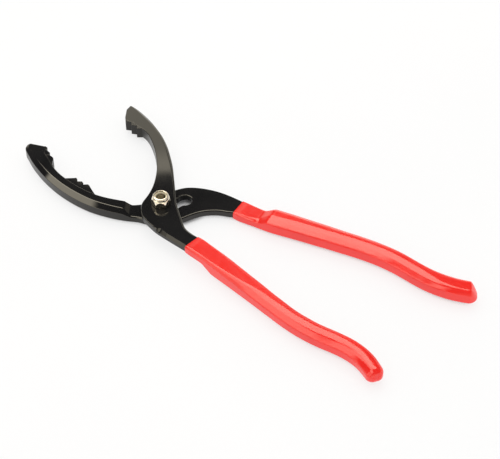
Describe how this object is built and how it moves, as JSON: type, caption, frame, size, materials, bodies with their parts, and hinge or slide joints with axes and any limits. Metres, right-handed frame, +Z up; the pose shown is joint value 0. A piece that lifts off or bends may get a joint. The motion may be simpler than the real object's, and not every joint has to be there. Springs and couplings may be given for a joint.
{
  "type": "adjustable oil filter wrench",
  "caption": "Slip-joint oil filter wrench with curved, toothed jaws on two lapped steel levers, a slotted pivot with bolt and lock nut, and long dipped vinyl grips.",
  "frame": {"origin": "where the pivot bolt's axis meets the underside of its head", "axes": "+Z up the bolt from head to nut, +X from the pivot towards the handle ends, +Y across the tool towards the tip of the upper jaw"},
  "size_m": [0.3341, 0.2852, 0.0215],
  "materials": {
    "coated_steel": "gloss black baked coating",
    "red_vinyl": "glossy dipped vinyl",
    "plated_nut": "bright yellow-tinged zinc plate",
    "plated_bolt": "olive zinc plate",
    "nylon": "natural nylon"
  },
  "bodies": {
    "lower_arm": {"lower_lever": "coated_steel", "lower_grip": "red_vinyl"},
    "pivot": {"pivot_bolt": "plated_bolt", "lock_nut": "plated_nut", "nylon_insert": "nylon"},
    "upper_arm": {"upper_lever": "coated_steel", "upper_grip": "red_vinyl"}
  },
  "joints": [
    {"name": "slot_slide", "type": "slide", "parent": "lower_arm", "child": "pivot", "axis": [0.8805, 0.4741, 0], "range_m": [0, 0.0196]},
    {"name": "jaw_hinge", "type": "hinge", "parent": "pivot", "child": "upper_arm", "pos_m": [0, 0, 0.0082], "axis": [0, 0, 1], "range_deg": [-28, 16]}
  ]
}
